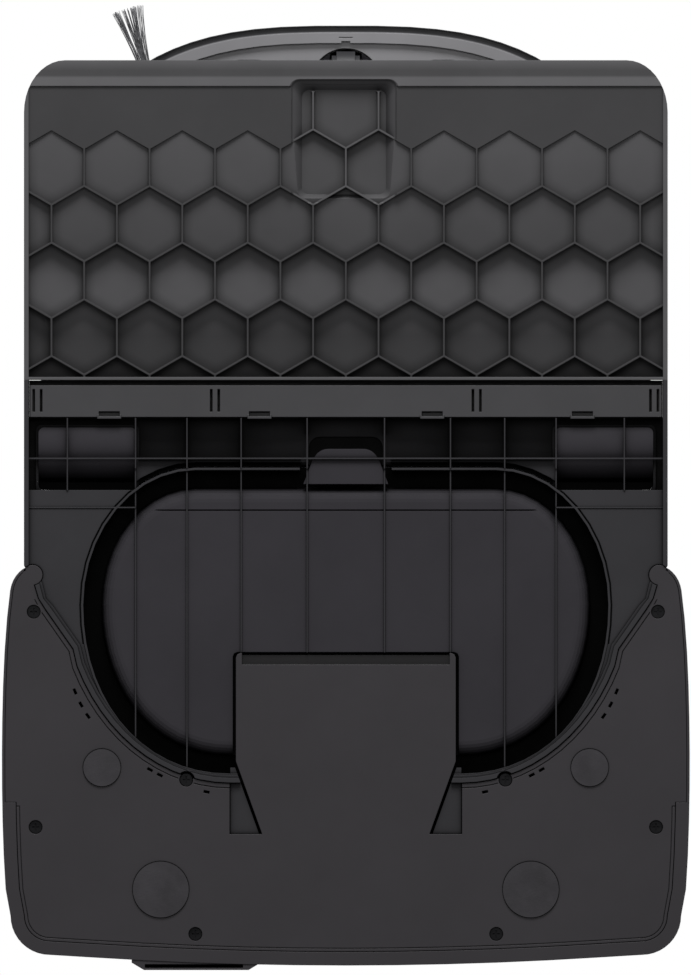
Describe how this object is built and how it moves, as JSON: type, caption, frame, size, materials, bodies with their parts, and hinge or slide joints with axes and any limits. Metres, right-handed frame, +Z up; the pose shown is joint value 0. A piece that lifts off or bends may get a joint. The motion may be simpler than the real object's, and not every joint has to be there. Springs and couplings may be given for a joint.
{
  "type": "robot vacuum docking station",
  "caption": "Docking station for a robot vacuum and mop, with ramp, wash basin, water tanks and dust-bag bay, and the robot standing in it.",
  "frame": {"origin": "on the floor, under the middle of the whole outline at rest (side-brush tip to rear bracket)", "axes": "+Z up, -Y out over the ramp (the way the robot leaves), +X to the right seen from the front"},
  "size_m": [0.368, 0.5167, 0.4603],
  "materials": {
    "charcoal_plastic": "satin moulded",
    "ramp_plastic": "matte moulded",
    "strip_plastic": "matte moulded",
    "tray_plastic": "matte moulded",
    "bumper_plastic": "satin moulded, dark outer band",
    "caster_plastic": "satin moulded",
    "dark_plastic": "matte moulded",
    "robot_plastic": "satin moulded",
    "inner_plastic": "matte moulded",
    "clear_tank": "tinted, glossy",
    "smoked_tank": "smoked, glossy",
    "rubber_black": "matte",
    "tyre_black": "treaded",
    "bristle": "nylon strands",
    "mop_cloth": "looped pile",
    "bag_cloth": "non-woven",
    "card": "pressed card",
    "contact_brass": "polished",
    "screw_steel": "blackened",
    "board_green": "solder mask",
    "light_white": "diffusing",
    "sensor_black": "polished",
    "battery_blue": "shrink film",
    "motor_grey": "moulded housing"
  },
  "bodies": {
    "station": {"ramp_plate": "ramp_plastic", "joint_strip": "strip_plastic", "base_tray": "tray_plastic", "wheel_rest_left": "dark_plastic", "wheel_rest_right": "dark_plastic", "wash_basin": "dark_plastic", "bottom_cover": "charcoal_plastic", "foot_pads": "rubber_black", "bottom_screws": "screw_steel", "tower_shell": "charcoal_plastic", "top_rim": "charcoal_plastic", "cavity_liner": "dark_plastic", "lower_deck": "dark_plastic", "upper_deck": "dark_plastic", "bag_chamber": "inner_plastic", "rear_bracket": "charcoal_plastic", "power_inlet": "dark_plastic", "air_duct": "dark_plastic", "duct_gasket": "rubber_black", "suction_motor": "motor_grey", "water_pump": "motor_grey", "circuit_board": "board_green", "status_light": "light_white", "bag_collar": "card", "dust_bag": "bag_cloth"},
    "station_button": {"start_button": "robot_plastic"},
    "contact_pin_left": {"charge_contact_left": "contact_brass"},
    "contact_pin_right": {"charge_contact_right": "contact_brass"},
    "front_door": {"dust_door": "charcoal_plastic"},
    "clean_tank_body": {"clean_tank": "clear_tank"},
    "clean_lid_body": {"clean_lid": "charcoal_plastic"},
    "clean_bail": {"clean_handle": "robot_plastic"},
    "dirty_tank_body": {"dirty_tank": "smoked_tank"},
    "dirty_lid_body": {"dirty_lid": "charcoal_plastic"},
    "dirty_bail": {"dirty_handle": "robot_plastic"},
    "robot": {"robot_chassis": "robot_plastic", "robot_shell": "charcoal_plastic", "brush_cover": "dark_plastic", "dust_bin": "smoked_tank", "battery": "battery_blue", "cliff_sensors": "sensor_black", "lidar_cap": "charcoal_plastic"},
    "robot_cover": {"robot_lid": "charcoal_plastic"},
    "bumper": {"robot_bumper": "bumper_plastic", "bumper_trim": "sensor_black"},
    "caster": {"caster_fork": "dark_plastic"},
    "caster_roller": {"caster_wheel": "caster_plastic"},
    "wheel_left": {"wheel_hub_left": "robot_plastic", "wheel_tyre_left": "tyre_black"},
    "wheel_right": {"wheel_hub_right": "robot_plastic", "wheel_tyre_right": "tyre_black"},
    "roller_brush": {"main_brush": "rubber_black"},
    "side_brush": {"side_brush_hub": "dark_plastic", "side_brush_bristles": "bristle"},
    "mop_left": {"mop_disc_left": "robot_plastic", "mop_pad_left": "mop_cloth"},
    "mop_right": {"mop_disc_right": "robot_plastic", "mop_pad_right": "mop_cloth"},
    "lidar": {"lidar_head": "sensor_black"},
    "button": {"robot_button": "robot_plastic"}
  },
  "joints": [
    {"name": "robot_drive", "type": "slide", "parent": "station", "child": "robot", "axis": [0, -1, 0], "range_m": [-0.047, 0.4]},
    {"name": "start_button_press", "type": "slide", "parent": "station", "child": "station_button", "axis": [0, 0, -1], "range_m": [0, 0.0012], "stiffness_N_per_m": 400},
    {"name": "contact_left_press", "type": "slide", "parent": "station", "child": "contact_pin_left", "axis": [0, 1, 0], "range_m": [0, 0.0025], "stiffness_N_per_m": 300},
    {"name": "contact_right_press", "type": "slide", "parent": "station", "child": "contact_pin_right", "axis": [0, 1, 0], "range_m": [0, 0.0025], "stiffness_N_per_m": 300},
    {"name": "dust_door_hinge", "type": "hinge", "parent": "station", "child": "front_door", "pos_m": [-0.117, 0.0431, 0.2], "axis": [0, 0, -1], "range_deg": [0, 110]},
    {"name": "clean_tank_lift", "type": "slide", "parent": "station", "child": "clean_tank_body", "axis": [0, 0, 1], "range_m": [0, 0.21]},
    {"name": "clean_lid_hinge", "type": "hinge", "parent": "clean_tank_body", "child": "clean_lid_body", "pos_m": [0.086, 0.2336, 0.4443], "axis": [-1, 0, 0], "range_deg": [0, 70]},
    {"name": "clean_handle_hinge", "type": "hinge", "parent": "clean_lid_body", "child": "clean_bail", "pos_m": [0.086, 0.146, 0.4502], "axis": [-1, 0, 0], "range_deg": [0, 90]},
    {"name": "dirty_tank_lift", "type": "slide", "parent": "station", "child": "dirty_tank_body", "axis": [0, 0, 1], "range_m": [0, 0.21]},
    {"name": "dirty_lid_hinge", "type": "hinge", "parent": "dirty_tank_body", "child": "dirty_lid_body", "pos_m": [-0.086, 0.2336, 0.4443], "axis": [-1, 0, 0], "range_deg": [0, 70]},
    {"name": "dirty_handle_hinge", "type": "hinge", "parent": "dirty_lid_body", "child": "dirty_bail", "pos_m": [-0.086, 0.146, 0.4502], "axis": [-1, 0, 0], "range_deg": [0, 90]},
    {"name": "robot_lid_hinge", "type": "hinge", "parent": "robot", "child": "robot_cover", "pos_m": [0, -0.0875, 0.1124], "axis": [-1, 0, 0], "range_deg": [0, 75]},
    {"name": "bumper_press", "type": "slide", "parent": "robot", "child": "bumper", "axis": [0, 1, 0], "range_m": [0, 0.0025], "stiffness_N_per_m": 600},
    {"name": "caster_swivel", "type": "hinge", "parent": "robot", "child": "caster", "pos_m": [0, -0.2163, 0.034], "axis": [0, 0, 1], "continuous": true},
    {"name": "caster_roll", "type": "hinge", "parent": "caster", "child": "caster_roller", "pos_m": [0, -0.2245, 0.024], "axis": [1, 0, 0], "continuous": true},
    {"name": "wheel_left_roll", "type": "hinge", "parent": "robot", "child": "wheel_left", "pos_m": [-0.138, -0.062, 0.05], "axis": [1, 0, 0], "continuous": true},
    {"name": "wheel_right_roll", "type": "hinge", "parent": "robot", "child": "wheel_right", "pos_m": [0.138, -0.062, 0.05], "axis": [1, 0, 0], "continuous": true},
    {"name": "main_brush_spin", "type": "hinge", "parent": "robot", "child": "roller_brush", "pos_m": [0, -0.124, 0.036], "axis": [1, 0, 0], "continuous": true},
    {"name": "side_brush_spin", "type": "hinge", "parent": "robot", "child": "side_brush", "pos_m": [-0.0995, -0.1976, 0.03], "axis": [0, 0, 1], "continuous": true},
    {"name": "mop_left_spin", "type": "hinge", "parent": "robot", "child": "mop_left", "pos_m": [-0.066, 0.024, 0.03], "axis": [0, 0, 1], "continuous": true},
    {"name": "mop_right_spin", "type": "hinge", "parent": "robot", "child": "mop_right", "pos_m": [0.066, 0.024, 0.03], "axis": [0, 0, 1], "continuous": true},
    {"name": "lidar_spin", "type": "hinge", "parent": "robot", "child": "lidar", "pos_m": [0, -0.04, 0.118], "axis": [0, 0, 1], "continuous": true},
    {"name": "robot_button_press", "type": "slide", "parent": "robot", "child": "button", "axis": [0, 0, -1], "range_m": [0, 0.001], "stiffness_N_per_m": 400}
  ],
  "couplings": [
    {"joint": "mop_right_spin", "follows": "mop_left_spin", "ratio": -1}
  ]
}
